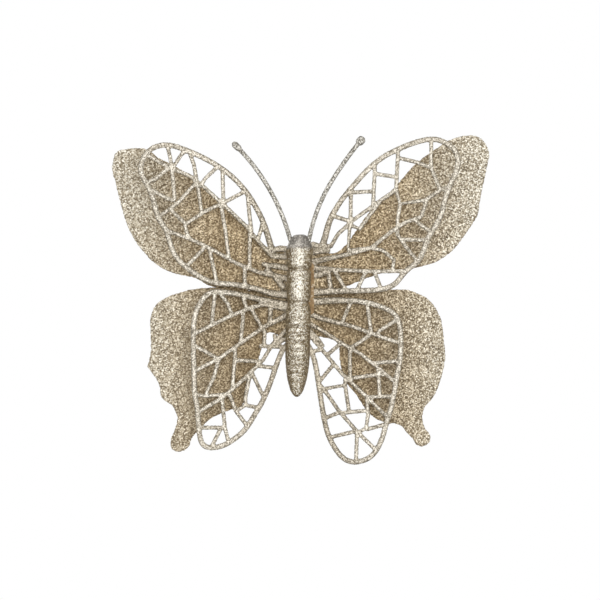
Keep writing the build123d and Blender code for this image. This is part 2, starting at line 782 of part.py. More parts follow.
# Radius at which the two arcs of a piece meet with one tangent
half_piece = piece_angle / 2
lift = piece_length * math.tan(coil_slope) / math.sin(half_piece)
reach_squared = (
    lift * coil_radius * math.cos(half_piece) + coil_radius**2 + piece_length**2 / 4
)
meeting_radius = (math.sqrt(lift**2 + 4 * reach_squared) - lift) / 2

with BuildPart() as clip_spring:
    with BuildLine() as wire:
        start = on_coil(0, coil_radius)
        Line(start - coil_heading(0) * leg_length, start)
        for piece in range(piece_count):
            low = piece * piece_angle
            high = low + piece_angle
            meeting = on_coil(low + half_piece, meeting_radius)
            inward = TangentArc(
                on_coil(low, coil_radius), meeting, tangent=coil_heading(low)
            )
            TangentArc(meeting, on_coil(high, coil_radius), tangent=inward % 1)
        end = on_coil(coil_angle, coil_radius)
        Line(end, end + coil_heading(coil_angle) * leg_length)
    with BuildSketch(Plane(origin=wire.wire() @ 0, z_dir=wire.wire() % 0)):
        RegularPolygon(wire_radius, wire_sides)
    sweep(path=wire.wire())
clip_spring.part.label = "clip_spring"
export_step(clip_spring.part, "parts/clip_spring.step")

# Least gap between the wire's turns, measured on points along it
samples_per_turn = 72
sample_count = int(coil_angle / full_turn * samples_per_turn)
points = [
    on_coil(coil_angle * step / sample_count, coil_radius)
    for step in range(sample_count + 1)
]
least = min(
    (a - b).length
    for i, a in enumerate(points)
    for b in points[i + samples_per_turn // 2 :]
)
print("spring: least gap to itself", round(least - 2 * wire_radius, 3))
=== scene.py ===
import math

import bpy
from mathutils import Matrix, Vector


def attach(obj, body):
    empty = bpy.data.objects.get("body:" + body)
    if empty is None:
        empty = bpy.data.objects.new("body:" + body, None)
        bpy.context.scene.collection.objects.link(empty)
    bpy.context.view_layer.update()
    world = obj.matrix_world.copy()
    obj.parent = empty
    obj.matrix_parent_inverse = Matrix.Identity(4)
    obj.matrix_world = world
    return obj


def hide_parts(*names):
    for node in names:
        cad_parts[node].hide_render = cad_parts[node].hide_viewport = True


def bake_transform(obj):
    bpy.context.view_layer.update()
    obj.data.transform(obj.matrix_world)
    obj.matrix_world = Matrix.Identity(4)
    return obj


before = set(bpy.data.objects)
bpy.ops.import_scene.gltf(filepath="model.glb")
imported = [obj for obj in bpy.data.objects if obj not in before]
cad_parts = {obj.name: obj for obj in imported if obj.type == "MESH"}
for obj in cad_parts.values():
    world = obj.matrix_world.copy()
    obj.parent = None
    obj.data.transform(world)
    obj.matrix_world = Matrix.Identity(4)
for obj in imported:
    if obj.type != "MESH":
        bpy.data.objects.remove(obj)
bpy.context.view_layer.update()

MM = 0.001
BODY = "ornament"
LEVER = "clip_jaw"


# Finishes

class Socket:
    """An output of a finish's nodes, so that its maths reads as plain expressions."""

    def __init__(self, finish, output):
        self.finish = finish
        self.output = output

    def __add__(self, other):
        return self.finish.maths("ADD", self, other)

    __radd__ = __add__

    def __sub__(self, other):
        return self.finish.maths("SUBTRACT", self, other)

    def __rsub__(self, other):
        return self.finish.maths("SUBTRACT", other, self)

    def __mul__(self, other):
        return self.finish.maths("MULTIPLY", self, other)

    def __gt__(self, other):
        return self.finish.maths("GREATER_THAN", self, other)


class Finish:
    """A surface's material: its shader with constants, and the nodes that vary it."""

    def __init__(self, name, **constants):
        self.material = bpy.data.materials.new(name)
        self.material.use_nodes = True
        self.tree = self.material.node_tree
        self.shader = self.tree.nodes["Principled BSDF"]
        for socket, value in constants.items():
            self.shader.inputs[socket.replace("_", " ")].default_value = value

    def set(self, socket, value):
        """Lets a node's output vary one of the shader's inputs."""
        self.tree.links.new(value.output, self.shader.inputs[socket])

    def node(self, kind, settings, inputs, output=0):
        """A node with its inputs linked or set, as the socket of one output."""
        made = self.tree.nodes.new(kind)
        for setting, value in settings.items():
            setattr(made, setting, value)
        for socket, value in inputs.items():
            if isinstance(value, Socket):
                self.tree.links.new(value.output, made.inputs[socket])
            else:
                made.inputs[socket].default_value = value
        return Socket(self, made.outputs[output])

    def place(self):
        """Where a point of the surface lies, in the object's own frame."""
        return self.node("ShaderNodeTexCoord", {}, {}, "Object")

    def part(self, vector, axis):
        """One coordinate of a vector."""
        return self.node("ShaderNodeSeparateXYZ", {}, {0: vector}, axis)

    def maths(self, operation, *values):
        inputs = dict(enumerate(values))
        return self.node("ShaderNodeMath", {"operation": operation}, inputs)

    def vector_maths(self, operation, inputs, output=0):
        return self.node(
            "ShaderNodeVectorMath", {"operation": operation}, inputs, output
        )

    def fade(self, value, start, end):
        """From 0 to 1, smoothly, while a value goes from start to end."""
        return self.node(
            "ShaderNodeMapRange",
            {"interpolation_type": "SMOOTHSTEP"},
            {0: value, 1: start, 2: end},
        )

    def noise(self, place, scale, detail):
        """Soft clouds of values round one half."""
        inputs = {"Vector": place, "Scale": scale, "Detail": detail}
        return self.node("ShaderNodeTexNoise", {}, inputs)

    def mosaic(self, place, scale):
        """A random colour for each of many small cells."""
        inputs = {"Vector": place, "Scale": scale, "Randomness": 1}
        return self.node("ShaderNodeTexVoronoi", {}, inputs, "Color")

    def first_of(self, colour):
        """A colour's red, taken as a random value."""
        return self.node("ShaderNodeSeparateColor", {}, {0: colour})

    def ramp(self, value, stops):
        """A colour for each value, between stops of a position and a colour."""
        colour = self.node("ShaderNodeValToRGB", {}, {0: value})
        elements = colour.output.node.color_ramp.elements
        while len(elements) < len(stops):
            elements.new(1)
        for element, (position, shade) in zip(elements, stops):
            element.position = position
            element.color = (*shade, 1)
        return colour

    def blend(self, factor, low, high, kind="MIX"):
        """Two colours mixed by a factor."""
        low, high = [
            (*colour, 1) if isinstance(colour, tuple) else colour
            for colour in (low, high)
        ]
        # Sockets 6 and 7 are the node's two colours, and output 2 its mixed colour
        return self.node(
            "ShaderNodeMix",
            {"data_type": "RGBA", "blend_type": kind},
            {0: factor, 6: low, 7: high},
            2,
        )

    def bump(self, height, strength, distance):
        inputs = {"Height": height, "Strength": strength, "Distance": distance}
        self.set("Normal", self.node("ShaderNodeBump", {}, inputs))


# Middle of the values that noise and mosaic give, and how the size of a patch's clouds
# follows the flakes' size
HALF = 0.5
PATCH_SCALE_SHARE = 0.35

# Where painted light lifts a wing's painted shade again by the body, from its outer to
# its inner end
ROOT_OUTER = 11 * MM
ROOT_INNER = 3 * MM

# The body's coat: darker towards the tail, and turned grey on the head as painted shade
TAIL_TOP = 8 * MM
TAIL_BOTTOM = -6 * MM
TAIL_LOSS = 0.15
HEAD_HEIGHT = 34.8 * MM
HEAD_FADE_BELOW = 1.2 * MM
HEAD_FADE_ABOVE = 0.8 * MM
HEAD_FADE_WANDER = 3 * MM
HEAD_SHADE_GREYS = ((0.18, 0.165, 0.145), (0.54, 0.505, 0.45))
COAT_ROUGHNESS = 0.4
HEAD_ROUGHNESS_LOSS = 0.12
BODY_METALLIC = 0.2
HEAD_METALLIC_GAIN = 0.5


def glitter(
    name, stops, flake, spread, tilt, shade, front, painted_shading=None, shaded_head=False
):
    """Coarse glitter: each flake has its own tone and leans its own way.

    Its tone carries painted light: by front's strength, level and power, faces turned
    forwards or back get a painted highlight and the flanks painted shade. The shading
    table paints shade that deepens from its far to its near distance from the middle,
    browner where deepest, and painted light that lifts the tone again at the root. With
    the head flag, the tone is darker at the body's tail, and the head turns grey as
    painted shade.
    """
    finish = Finish(
        name, Roughness=COAT_ROUGHNESS, Metallic=0.25, Specular_IOR_Level=0.25
    )
    place = finish.place()
    facing = finish.node("ShaderNodeNewGeometry", {}, {}, "Normal")
    lean = finish.mosaic(place, 1 / flake)
    patches = finish.noise(place, PATCH_SCALE_SHARE / flake, detail=3)
    tone = (finish.first_of(lean) - HALF) * spread + HALF + (patches - HALF) * shade
    # Painted highlight and painted shade: faces turned forwards or back are lightened
    # and the flanks darkened, by front's strength, level and power
    forwards = finish.vector_maths("DOT_PRODUCT", {0: facing, 1: (0, 1, 0)}, 1)
    facing_light = finish.maths("POWER", forwards * forwards, front["power"] / 2)
    tone = tone + (facing_light - front["level"]) * front["strength"]
    # Painted shade: darker towards the body, where the openwork and the body shade the
    # wings, and painted light at the root that lifts the shade beside the body
    if painted_shading:
        reach = finish.maths("ABSOLUTE", finish.part(place, "X"))
        unshaded = finish.fade(reach, painted_shading["near"], painted_shading["far"])
        root = finish.fade(reach, ROOT_OUTER, ROOT_INNER)
        tone = tone + (unshaded - 1) * painted_shading["loss"] + root * painted_shading["root_gain"]
    # Darker towards the tail
    if shaded_head:
        height = finish.part(place, "Z")
        tone = tone - finish.fade(height, TAIL_TOP, TAIL_BOTTOM) * TAIL_LOSS
    colour = finish.ramp(tone, stops)
    # The painted shade turns browner where it is deepest
    if painted_shading:
        tinted = finish.blend(1, colour, painted_shading["tint"], "MULTIPLY")
        colour = finish.blend(unshaded, tinted, colour)
    # Painted shade: the head's glitter turns grey, where the dome slopes back; its
    # shinier finish is the head's own
    if shaded_head:
        grey = finish.fade(
            height + (patches - HALF) * HEAD_FADE_WANDER,
            HEAD_HEIGHT - HEAD_FADE_BELOW,
            HEAD_HEIGHT + HEAD_FADE_ABOVE,
        )
        colour = finish.blend(grey, colour, finish.blend(tone, *HEAD_SHADE_GREYS))
        finish.set("Roughness", COAT_ROUGHNESS - grey * HEAD_ROUGHNESS_LOSS)
        finish.set("Metallic", BODY_METALLIC + grey * HEAD_METALLIC_GAIN)
    finish.set("Base Color", colour)
    centred = finish.vector_maths("SUBTRACT", {0: lean, 1: (HALF, HALF, HALF)})
    leaning = finish.vector_maths("SCALE", {0: centred, "Scale": tilt})
    turned = finish.vector_maths("ADD", {0: facing, 1: leaning})
    finish.set("Normal", finish.vector_maths("NORMALIZE", {0: turned}))
    return finish.material


def panel_glitter(name, **painted_shading):
    """The coat of the solid wings, with painted shade, darker and browner towards the
    body where the openwork shades it.
    """
    return glitter(
        name,
        (
            (0.0, (0.2, 0.16, 0.105)),
            (0.3, (0.38, 0.325, 0.235)),
            (0.6, (0.56, 0.5, 0.39)),
            (0.85, (0.76, 0.7, 0.58)),
            (1.0, (0.95, 0.91, 0.8)),
        ),
        flake=0.45 * MM,
        spread=1.35,
        tilt=0.65,
        shade=0.12,
        # front paints a slight highlight on faces turned forwards and shade where the
        # panel tilts away
        front=dict(strength=0.35, level=0.9, power=2),
        painted_shading=dict(tint=(0.99, 0.865, 0.68), **painted_shading),
    )


# Each wing pair: where its painted shade starts and ends, how deep and how brown it is,
# and the root's painted light
fore_glitter = panel_glitter(
    "fore_glitter", near=24 * MM, far=78 * MM, loss=0.22, root_gain=0.6
)
hind_glitter = panel_glitter(
    "hind_glitter", near=14 * MM, far=72 * MM, loss=0.36, root_gain=0.42
)
lattice_glitter = glitter(
    "lattice_glitter",
    (
        (0.0, (0.15, 0.127, 0.093)),
        (0.3, (0.31, 0.272, 0.21)),
        (0.6, (0.52, 0.463, 0.368)),
        (0.85, (0.79, 0.72, 0.595)),
        (1.0, (0.97, 0.91, 0.8)),
    ),
    flake=0.4 * MM,
    spread=1.0,
    tilt=0.45,
    shade=0.15,
    # front paints a light core along each rib and painted shade on its flanks
    front=dict(strength=0.9, level=0.48, power=4),
    # Painted shade on the ribs towards the body, and painted light at their root
    painted_shading=dict(
        tint=(0.84, 0.81, 0.76), near=5 * MM, far=30 * MM, loss=0.1, root_gain=0.36
    ),
)
antenna_glitter = glitter(
    "antenna_glitter",
    (
        (0.0, (0.13, 0.12, 0.1)),
        (0.35, (0.3, 0.28, 0.235)),
        (0.7, (0.49, 0.46, 0.4)),
        (1.0, (0.87, 0.84, 0.77)),
    ),
    flake=0.4 * MM,
    spread=1.2,
    tilt=0.5,
    shade=0.2,
    # front paints a light core along the wire and painted shade on its flanks
    front=dict(strength=0.6, level=0.7, power=2),
)
body_glitter = glitter(
    "body_glitter",
    (
        (0.0, (0.15, 0.11, 0.06)),
        (0.3, (0.3, 0.235, 0.14)),
        (0.6, (0.47, 0.395, 0.265)),
        (0.85, (0.73, 0.655, 0.51)),
        (1.0, (0.98, 0.95, 0.86)),
    ),
    flake=0.45 * MM,
    spread=1.4,
    tilt=0.5,
    shade=0.25,
    # front paints a narrow highlight band down the body's middle and painted shade on
    # its flanks
    front=dict(strength=1.7, level=0.33, power=12),
    shaded_head=True,
)

# Textures' scales are in cells per metre. Drawing lines and rubbed patches both make
# the steel rougher, and darker where they are weak.
DRAWN_SQUEEZE = (1, 1, 0.05)
DRAWN_SCALE = 4000
DRAWN_ROUGHNESS = 0.1
DRAWN_WEAR_SHARE = 0.4
RUBBED_SCALE = 350
RUBBED_ROUGHNESS = 0.18
RUBBED_WEAR_SHARE = 0.6
STEEL_ROUGHNESS = 0.2
WORN_LEVEL = 0.35
WORN_CONTRAST = 3.3
WORN_SHARE = 0.7


def plated_steel(name, colour):
    """Nickel-plated sheet with fine drawing lines and small rubbed patches."""
    finish = Finish(name, Metallic=1)
    place = finish.place()
    drawn = finish.node(
        "ShaderNodeMapping", {}, {"Vector": place, "Scale": DRAWN_SQUEEZE}
    )
    lines = finish.noise(drawn, DRAWN_SCALE, detail=2)
    rubbed = finish.noise(place, RUBBED_SCALE, detail=4)
    finish.set(
        "Roughness",
        STEEL_ROUGHNESS + lines * DRAWN_ROUGHNESS + rubbed * RUBBED_ROUGHNESS,
    )
    wear = rubbed * RUBBED_WEAR_SHARE + lines * DRAWN_WEAR_SHARE
    darker = tuple(WORN_SHARE * value for value in colour)
    clean = (wear - WORN_LEVEL) * WORN_CONTRAST
    finish.set("Base Color", finish.blend(clean, darker, colour))
    finish.bump(lines, strength=0.15, distance=0.01 * MM)
    return finish.material


clip_steel = plated_steel("clip_steel", (0.62, 0.61, 0.59))
pin_steel = plated_steel("pin_steel", (0.55, 0.54, 0.53))
spring_steel = plated_steel("spring_steel", (0.42, 0.42, 0.43))

GLUE_CLOUD_SCALE = 600
STRAY_FLAKE_SCALE = 2000
STRAY_FLAKE_LEVEL = 0.93


def hot_glue():
    """Set hot glue: reddish brown and uneven, with stray flakes in it."""
    finish = Finish("hot_glue", Roughness=0.5, Specular_IOR_Level=0.3)
    place = finish.place()
    clouds = finish.noise(place, GLUE_CLOUD_SCALE, detail=4)
    flake = finish.first_of(finish.mosaic(place, STRAY_FLAKE_SCALE))
    mottled = finish.ramp(
        clouds,
        (
            (0.3, (0.19, 0.105, 0.04)),
            (0.5, (0.35, 0.225, 0.105)),
            (0.7, (0.47, 0.32, 0.165)),
        ),
    )
    stray = flake > STRAY_FLAKE_LEVEL
    finish.set("Base Color", finish.blend(stray, mottled, (0.62, 0.52, 0.38)))
    finish.bump(clouds, strength=0.4, distance=0.1 * MM)
    return finish.material


glue = hot_glue()


# Modelling steps

WELD = 0.001 * MM


def on(piece):
    """Selects this piece and nothing else."""
    bpy.ops.object.select_all(action="DESELECT")
    piece.select_set(True)
    bpy.context.view_layer.objects.active = piece


def made(shape, name):
    """A new object in the scene, selected and ready to work on."""
    piece = bpy.data.objects.new(name, shape)
    bpy.context.scene.collection.objects.link(piece)
    on(piece)
    return piece


def whole(piece, operation, **settings):
    """One edit-mode operation on all of a piece."""
    on(piece)
    bpy.ops.object.mode_set(mode="EDIT")
    bpy.ops.mesh.select_all(action="SELECT")
    operation(**settings)
    bpy.ops.object.mode_set(mode="OBJECT")


def apply(piece, kind, **settings):
    """A modifier, applied at once."""
    on(piece)
    modifier = piece.modifiers.new(kind.lower(), kind)
    for setting, value in settings.items():
        setattr(modifier, setting, value)
    bpy.ops.object.modifier_apply(modifier=modifier.name)


def remesh(piece, grain):
    """Covers a piece in one closed skin of small squares."""
    apply(piece, "REMESH", mode="VOXEL", voxel_size=grain)


def from_solid(name, node):
    """A copy of a node's mesh, with its loose triangles merged."""
    piece = made(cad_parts[node].data.copy(), name)
    whole(piece, bpy.ops.mesh.remove_doubles, threshold=WELD)
    return piece


def dress(piece, node, finish):
    """Gives a piece its finish, in place of a node."""
    piece.data.materials.clear()
    piece.data.materials.append(finish)
    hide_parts(node)


def crust(piece, node, grain, rounding, roughness, finish):
    """Covers a piece in flakes: one skin of small facets, each turned a little."""
    remesh(piece, grain)
    apply(piece, "SMOOTH", iterations=rounding)
    whole(
        piece, bpy.ops.transform.vertex_random, offset=roughness, normal=0.6, seed=7
    )
    whole(piece, bpy.ops.mesh.normals_make_consistent, inside=False)
    bpy.ops.object.shade_flat()
    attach(piece, BODY)
    dress(piece, node, finish)


def share_of(value, start, end):
    """From 0 to 1, evenly, while a value goes from start to end."""
    return min(1, max(0, (value - start) / (end - start)))


# Panels: the coat fills the hairline between fore and hind wings by the body. For each
# side: how far out it is filled to the full, where the fill ends, and how high it is.
PANEL_GRAIN = 0.5 * MM
SEAMS = {
    "left": (30 * MM, 42 * MM, 0.45 * MM),
    "right": (18 * MM, 26 * MM, 0.35 * MM),
}

for wing, finish in (
    ("fore_wing_left", fore_glitter),
    ("fore_wing_right", fore_glitter),
    ("hind_wing_left", hind_glitter),
    ("hind_wing_right", hind_glitter),
):
    panel = from_solid(f"{wing}_glitter", wing)
    remesh(panel, PANEL_GRAIN)
    pair, _, side = wing.split("_")
    seam_start, seam_end, most = SEAMS[side]
    for point in panel.data.vertices:
        fill = most * share_of(-abs(point.co.x), -seam_end, -seam_start)
        point.co.z += fill if pair == "hind" else -fill
    crust(
        panel,
        wing,
        grain=PANEL_GRAIN,
        rounding=1,
        roughness=0.15 * MM,
        finish=finish,
    )


# Openwork wings: round ribs along their middle lines, read off the picture in pixels
PIXEL = 0.4 * MM
AXIS_PIXEL = 298.5
GRIP_PIXEL = 335
HALF_SPAN = 75.4 * MM
FLAT_HALF_WIDTH = 6.4 * MM
CREASE_RADIUS = 14.1 * MM
FORE_RISE = 15.9 * MM
HIND_RISE = 14.7 * MM
LAYER_DEPTH = 3.85 * MM
RIM_RADIUS = 1.12 * MM
RIB_SHARE = 0.76

# By the body the ribs broaden: from a reach in to an edge, and from a foot up to where
# they are at their full width
ROOT_SWELL = 0.5 * MM
ROOT_REACH = 15 * MM
ROOT_EDGE = 6 * MM
ROOT_FOOT = 3 * MM
ROOT_FULL = 9 * MM

# Each rim runs from root to root. The last few ribs of a wing fill in its root.
LEFT_FORE_RIM = (
    (272, 250), (268.5, 238), (263, 220), (248, 193), (231, 175), (212, 162),
    (190, 151.5), (170, 144.5), (157, 146), (147, 152), (141, 164), (141, 175),
    (147, 183), (153, 197), (156, 211), (160, 221), (167.5, 231), (171.5, 249),
    (179, 261), (188, 268.5), (200, 277), (213, 283), (230, 284), (245, 286),
    (258, 289), (268, 292.5), (278, 294.5), (289, 294.5),
)
LEFT_FORE_RIBS = (
    ((289, 249.5), (280, 248.5), (272, 250)),
    ((145, 154), (152, 158), (171, 168.5), (190, 176), (205, 188), (226, 207)),
    ((226, 207), (247, 227), (258, 241), (272, 256), (289, 257)),
    ((167.5, 146), (170.5, 158), (173.5, 184), (175, 200)),
    ((188, 150.5), (182, 154), (178, 160), (173, 168)),
    ((189.5, 152), (194, 165), (198.5, 190), (202, 214.5)),
    ((218, 166.5), (205, 179), (202, 184)),
    ((222.5, 169), (223.5, 203)),
    ((244, 192), (229, 200), (223.5, 203)),
    ((247.5, 194), (249.5, 215), (251.5, 231)),
    ((263, 222), (258, 240)),
    ((169, 168), (156, 179), (147, 183)),
    ((151.5, 190), (167, 198.5), (175, 200.5)),
    ((196, 183), (178, 203), (158, 218)),
    ((171, 210), (186, 224)),
    ((221, 204), (206, 211), (186, 224), (185, 226), (189, 238)),
    ((168, 231), (189, 238.5), (208, 247), (236, 263), (258, 272), (289, 279)),
    ((206, 246), (195, 258), (186, 267)),
    ((209, 248), (213, 265), (217, 283)),
    ((245, 268), (244.5, 278), (245.5, 286)),
    ((221, 205), (225, 228), (229, 259)),
    ((250, 229), (249.5, 269)),
    ((262, 264), (275, 266), (289, 268)),
    ((266, 268), (274, 276), (284, 288)),
)
RIGHT_FORE_RIM = (
    (322, 247), (325, 238), (329, 221), (339, 203), (352, 187), (368, 169),
    (380, 159), (390, 153), (410, 144), (428, 139), (440, 140), (452, 147),
    (458.5, 157), (457, 171), (449.5, 185), (444.5, 200), (441, 216), (434, 228),
    (427, 239), (424, 250), (418, 262), (405, 271), (396, 284), (385, 289),
    (371, 290.5), (340, 291), (320, 292), (307, 292.5),
)
RIGHT_FORE_RIBS = (
    ((307, 249.5), (313, 244.5), (317, 246), (322, 247)),
    ((307, 253), (320, 251), (330, 250.5)),
    ((322, 247), (331, 246), (338, 234), (354, 219.5), (380, 201), (396, 190)),
    ((307, 267.5), (340, 270), (376, 271.5), (406, 271)),
    ((332, 215.5), (350, 221.5)),
    ((351, 189), (350.5, 221)),
    ((352, 192.5), (373, 191.5)),
    ((375, 164), (373, 205)),
    ((376, 174), (398, 177.5)),
    ((398, 150.5), (396, 190)),
    ((398, 158), (417, 162.5), (431, 168)),
    ((431, 139), (431, 168), (440, 190)),
    ((350, 222), (348, 250), (371, 248)),
    ((350, 225), (360, 229), (380, 201)),
    ((447, 188), (440, 190), (426, 200)),
    ((396, 190), (400, 204), (426, 200)),
    ((426, 200), (424.5, 206), (421, 217)),
    ((421, 217), (406, 222), (392, 231), (371, 248)),
    ((400, 204), (397.5, 220), (397.5, 235), (406, 247), (418, 262)),
    ((399, 239.5), (424, 240)),
    ((414, 219), (422, 226), (431, 232)),
    ((371, 248), (383, 250.5), (394, 260), (392, 271)),
    ((307, 263), (350, 254), (371, 248)),
    ((334, 270), (346, 290)),
    ((366, 271), (357, 290)),
    ((374, 271), (381, 289)),
    ((328, 270), (331, 290)),
    ((307, 276), (320, 275), (330, 270)),
)
LEFT_HIND_RIM = (
    (289, 305.5), (275, 303), (255, 298), (235, 293.5), (222, 292), (212, 291.5),
    (205, 296), (199, 305), (194.5, 316), (193, 335), (194, 370), (194.5, 394),
    (197.5, 407), (198.5, 424), (200.5, 442), (207, 448), (220, 447), (232, 441),
    (245.5, 430), (254.5, 415), (263.5, 400), (271.5, 380), (278, 360), (284, 347),
    (289, 343),
)
LEFT_HIND_RIBS = (
    ((194, 334), (207, 327.5), (228, 317), (252, 307), (264, 304.5), (289, 309)),
    ((195, 371), (219, 358.5), (245, 340), (264, 327), (289, 314)),
    ((198, 412), (222, 398), (245, 378), (263, 360), (272, 345), (289, 327)),
    ((215, 292), (213, 312), (212, 324)),
    ((219, 292), (228, 304), (232, 315)),
    ((242, 295), (247, 309)),
    ((243, 310), (243, 320), (240.5, 343)),
    ((251, 308), (262, 328)),
    ((271, 303), (270, 323)),
    ((194, 345), (210, 354), (219, 359)),
    ((235, 348), (235, 358), (232, 391)),
    ((235, 360), (262, 361.5)),
    ((219, 358.5), (214, 377), (205, 396), (195, 394)),
    ((205, 396), (228, 394)),
    ((252, 373), (264, 398)),
    ((259, 366), (276, 368)),
    ((245.5, 405), (260, 408)),
    ((229, 393), (236, 411), (248, 427)),
    ((222, 398), (225, 428), (229, 443.5)),
    ((198.5, 427.5), (225, 427.5)),
    ((221, 428), (211, 448)),
    ((250, 375), (245.5, 397), (245.5, 405), (236, 411)),
    ((259, 346), (284, 347)),
    ((274.5, 334), (275.5, 344)),
    ((265, 330), (264, 346)),
    ((289, 337), (281, 341.5), (272, 345)),
)
RIGHT_HIND_RIM = (
    (307, 302.5), (320, 301), (350, 300), (371, 303), (390, 310), (398.5, 318),
    (401, 335), (400.5, 358), (396, 380), (392, 405), (386.5, 422), (382, 440),
    (372.5, 457), (356, 463), (343, 459.5), (332, 444), (326.3, 430), (322.5, 410),
    (319.5, 390), (315.5, 363), (311, 350), (307, 343),
)
RIGHT_HIND_RIBS = (
    ((307, 312.5), (320, 318), (353, 326.5), (384, 338), (401, 343)),
    ((307, 322.5), (323, 331), (344, 344.5), (361, 354), (381, 370), (396, 383)),
    ((307, 332), (318, 345), (342, 373.5), (366, 396), (389, 419)),
    ((309, 329.5), (318, 339), (323.5, 347)),
    ((318.5, 383), (328, 395), (339, 411), (358, 432.5), (376, 450)),
    ((351, 301), (346, 313), (342, 323)),
    ((367, 303), (371, 332)),
    ((398, 319), (379, 331), (376, 336)),
    ((372, 333), (360, 342), (350, 348)),
    ((400, 361), (373, 363)),
    ((386, 374), (370, 375.5), (348, 378.5)),
    ((350, 348), (350, 378)),
    ((378, 369), (380, 398)),
    ((366, 397), (394, 396)),
    ((340, 344), (326, 356)),
    ((309, 352), (320, 350)),
    ((333, 365), (319, 382)),
    ((323, 389), (345, 385), (345, 379)),
    ((345, 385), (349, 411)),
    ((340, 413), (366, 410.5)),
    ((367, 397), (368, 415), (366, 428), (357, 433)),
    ((323, 419), (340, 412)),
    ((329, 437.5), (356, 431)),
    ((366, 429.5), (386, 424)),
    ((357, 431), (356, 462)),
)


def layer_depth(x, rise):
    """How far in front of the grip a rib's middle lies, at x to either side."""
    lift = math.atan2(rise, HALF_SPAN - FLAT_HALF_WIDTH)
    out = max(0, abs(x) - FLAT_HALF_WIDTH)
    bend = CREASE_RADIUS * math.sin(lift)
    if out < bend:
        return LAYER_DEPTH + CREASE_RADIUS - math.sqrt(CREASE_RADIUS**2 - out**2)
    lifted = CREASE_RADIUS * (1 - math.cos(lift))
    return LAYER_DEPTH + lifted + (out - bend) * math.tan(lift)


def swell(x, z):
    """How much a rib broadens towards the body, where the coats run together."""
    beside = share_of(-abs(x), -ROOT_REACH, -ROOT_EDGE)
    above = share_of(z, ROOT_FOOT, ROOT_FULL)
    return ROOT_SWELL * beside * above


def openwork(wing, rim, ribs, rise):
    """One openwork wing: its rim and ribs as round wires, fused into one moulding."""
    wires = bpy.data.curves.new(f"{wing}_ribs", "CURVE")
    wires.dimensions = "3D"
    wires.bevel_depth = RIM_RADIUS
    wires.bevel_resolution = 2
    wires.use_fill_caps = True
    wires.resolution_u = 4
    for line, share in [(rim, 1)] + [(rib, RIB_SHARE) for rib in ribs]:
        wire = wires.splines.new("NURBS" if line is rim else "POLY")
        wire.points.add(len(line) - 1)
        for point, (across, down) in zip(wire.points, line):
            x = (across - AXIS_PIXEL) * PIXEL
            z = (GRIP_PIXEL - down) * PIXEL
            broader = swell(x, z)
            point.co = (x, broader - layer_depth(x, rise), z, 1)
            point.radius = share + broader / RIM_RADIUS
        if line is rim:
            wire.order_u = 3
            wire.use_endpoint_u = True
    piece = made(wires, f"{wing}_ribs")
    bpy.ops.object.convert(target="MESH")
    crust(
        piece,
        wing,
        grain=0.32 * MM,
        rounding=2,
        roughness=0.11 * MM,
        finish=lattice_glitter,
    )


openwork("fore_lattice_left", LEFT_FORE_RIM, LEFT_FORE_RIBS, FORE_RISE)
openwork("fore_lattice_right", RIGHT_FORE_RIM, RIGHT_FORE_RIBS, FORE_RISE)
openwork("hind_lattice_left", LEFT_HIND_RIM, LEFT_HIND_RIBS, HIND_RISE)
openwork("hind_lattice_right", RIGHT_HIND_RIM, RIGHT_HIND_RIBS, HIND_RISE)


# Body: ringed abdomen, seams round the thorax, and the lean that the picture shows. A
# pinch is a share of the radius, and the rings bulge a little to the sides instead.
BODY_GRAIN = 0.3 * MM
BODY_AXIS_DEPTH = 6.75 * MM
ABDOMEN_TOP = 10 * MM
RING_PITCH = 3.2 * MM
RING_PINCH = 0.09
RING_SHARE_ACROSS = -0.3
THORAX_SEAMS = (26.4 * MM, 12.8 * MM)
THORAX_TOP = 32 * MM
THORAX_WIDTH_SHARE = 0.93
SEAM_WIDTH = 0.6 * MM
SEAM_PINCH = 0.11
LEAN = 0.0187
LEAN_SHIFT = -0.23 * MM


def ring_pinch(height):
    """Deepest in the middle of each groove of the abdomen, and none above it."""
    below = ABDOMEN_TOP - height
    if below <= 0:
        return 0
    wave = 0.5 + 0.5 * math.cos(2 * math.pi * below / RING_PITCH)
    return RING_PINCH * wave**2


def seam_width_share(height):
    """What the thorax's seams leave of the radius."""
    left = 1
    for seam in THORAX_SEAMS:
        left -= SEAM_PINCH * math.exp(-(((height - seam) / SEAM_WIDTH) ** 2))
    return left


moulding = from_solid("body_moulding", "body")
remesh(moulding, BODY_GRAIN)
for point in moulding.data.vertices:
    x, y, z = point.co
    ring = ring_pinch(z)
    seamed = seam_width_share(z)
    across = seamed - ring * RING_SHARE_ACROSS
    if THORAX_SEAMS[1] < z < THORAX_TOP:
        across *= THORAX_WIDTH_SHARE
    point.co.x = x * across + LEAN * z + LEAN_SHIFT
    point.co.y = -BODY_AXIS_DEPTH + (y + BODY_AXIS_DEPTH) * (seamed - ring)
crust(
    moulding,
    "body",
    grain=BODY_GRAIN,
    rounding=1,
    roughness=0.09 * MM,
    finish=body_glitter,
)

for side in ("left", "right"):
    crust(
        from_solid(f"antenna_{side}_wire", f"antenna_{side}"),
        f"antenna_{side}",
        grain=0.26 * MM,
        rounding=2,
        roughness=0.09 * MM,
        finish=antenna_glitter,
    )


# Glue: soft-edged, and uneven where it is seen
GLUE_GRAIN = 0.2 * MM


def glue_layer(name, node, waves):
    layer = from_solid(name, node)
    remesh(layer, GLUE_GRAIN)
    apply(layer, "SMOOTH", iterations=4)
    if waves:
        unevenness = bpy.data.textures.new("glue_waves", "CLOUDS")
        unevenness.noise_scale = 2.2 * MM
        apply(layer, "DISPLACE", texture=unevenness, strength=waves, mid_level=0.5)
    bpy.ops.object.shade_smooth()
    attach(layer, BODY)
    dress(layer, node, glue)


glue_layer("glue_bead", "glue_body", waves=0.7 * MM)
glue_layer("glue_pad", "glue_clip", waves=0)


